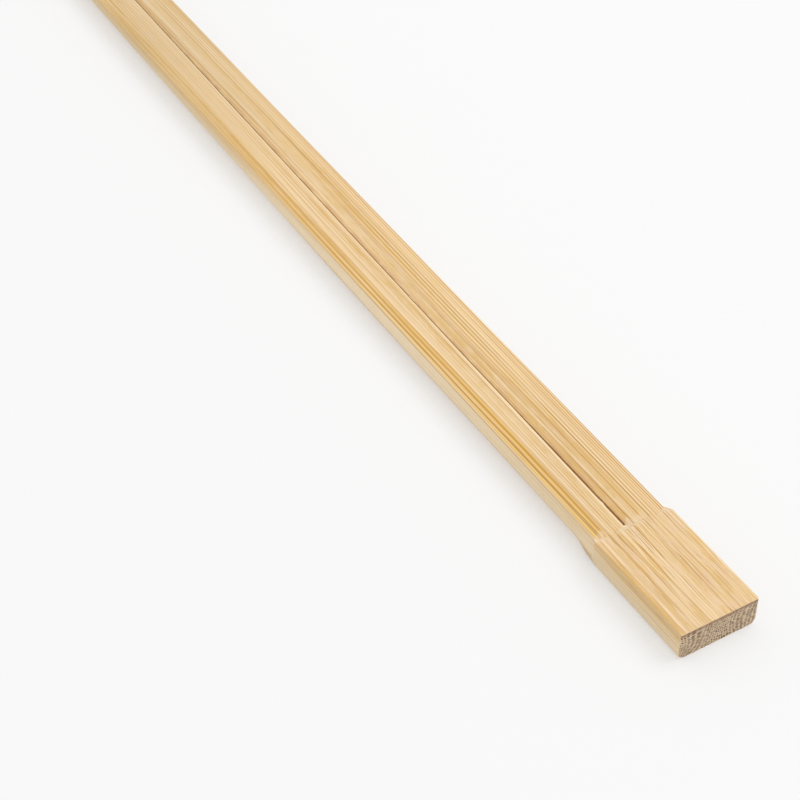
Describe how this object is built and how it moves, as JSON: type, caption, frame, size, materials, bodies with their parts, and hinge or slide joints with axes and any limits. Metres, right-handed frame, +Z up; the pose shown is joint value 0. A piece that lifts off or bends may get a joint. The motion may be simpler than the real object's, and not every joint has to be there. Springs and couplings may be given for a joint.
{
  "type": "twin bamboo chopsticks",
  "caption": "Disposable bamboo chopsticks moulded from one flat bar, joined at a square head, parted by a slit and tapering to round tips.",
  "frame": {"origin": "middle of the pair's length and width, on the plane it lies on", "axes": "+X from the joined head to the tips, +Z up out of the table"},
  "size_m": [0.24, 0.012, 0.0045],
  "materials": {
    "bamboo": "bare moulded bamboo, satin, with lengthwise fibres"
  },
  "bodies": {
    "root": {"chopstick_pair": "bamboo"}
  },
  "joints": []
}
